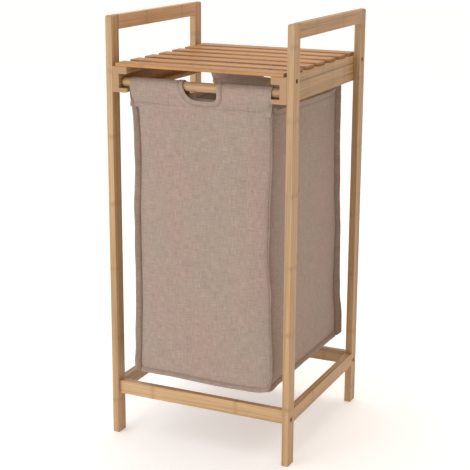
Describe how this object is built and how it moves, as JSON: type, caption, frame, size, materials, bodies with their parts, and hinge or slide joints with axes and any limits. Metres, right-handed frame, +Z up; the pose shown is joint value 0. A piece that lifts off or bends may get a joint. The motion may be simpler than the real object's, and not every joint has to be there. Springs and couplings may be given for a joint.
{
  "type": "laundry stand",
  "caption": "Bamboo laundry stand with a slatted top shelf, raised side hand rails and a fabric bag that slides out of grooved runners on two round bars.",
  "frame": {"origin": "on the floor under the middle of the stand", "axes": "+Z up, +X towards the right side seen from the front, front towards -Y"},
  "size_m": [0.334, 0.328, 0.73],
  "materials": {
    "bamboo": "satin lacquer",
    "bar_bamboo": "satin lacquer",
    "dowel_wood": "plain",
    "screw_steel": "blackened",
    "linen_cloth": "plain woven linen look"
  },
  "bodies": {
    "stand": {"post_front_left": "bamboo", "post_front_right": "bamboo", "post_back_left": "bamboo", "post_back_right": "bamboo", "hand_rail_left": "bamboo", "hand_rail_right": "bamboo", "side_stretcher_left": "bamboo", "side_stretcher_right": "bamboo", "front_stretcher": "bamboo", "back_stretcher": "bamboo", "shelf_bearer_left": "bamboo", "shelf_bearer_right": "bamboo", "grooved_runner_left": "bamboo", "grooved_runner_right": "bamboo", "shelf_slat_1": "bamboo", "shelf_slat_2": "bamboo", "shelf_slat_3": "bamboo", "shelf_slat_4": "bamboo", "shelf_slat_5": "bamboo", "shelf_slat_6": "bamboo", "shelf_slat_7": "bamboo", "frame_screws": "screw_steel", "dowel_pins": "dowel_wood"},
    "bag_carrier": {"front_bar": "bar_bamboo", "back_bar": "bar_bamboo", "bag_front_panel": "linen_cloth", "bag_back_panel": "linen_cloth", "bag_side_left": "linen_cloth", "bag_side_right": "linen_cloth", "bag_base": "linen_cloth"}
  },
  "joints": [
    {"name": "bag_slide", "type": "slide", "parent": "stand", "child": "bag_carrier", "axis": [0, -1, 0], "range_m": [0, 0.28]}
  ]
}
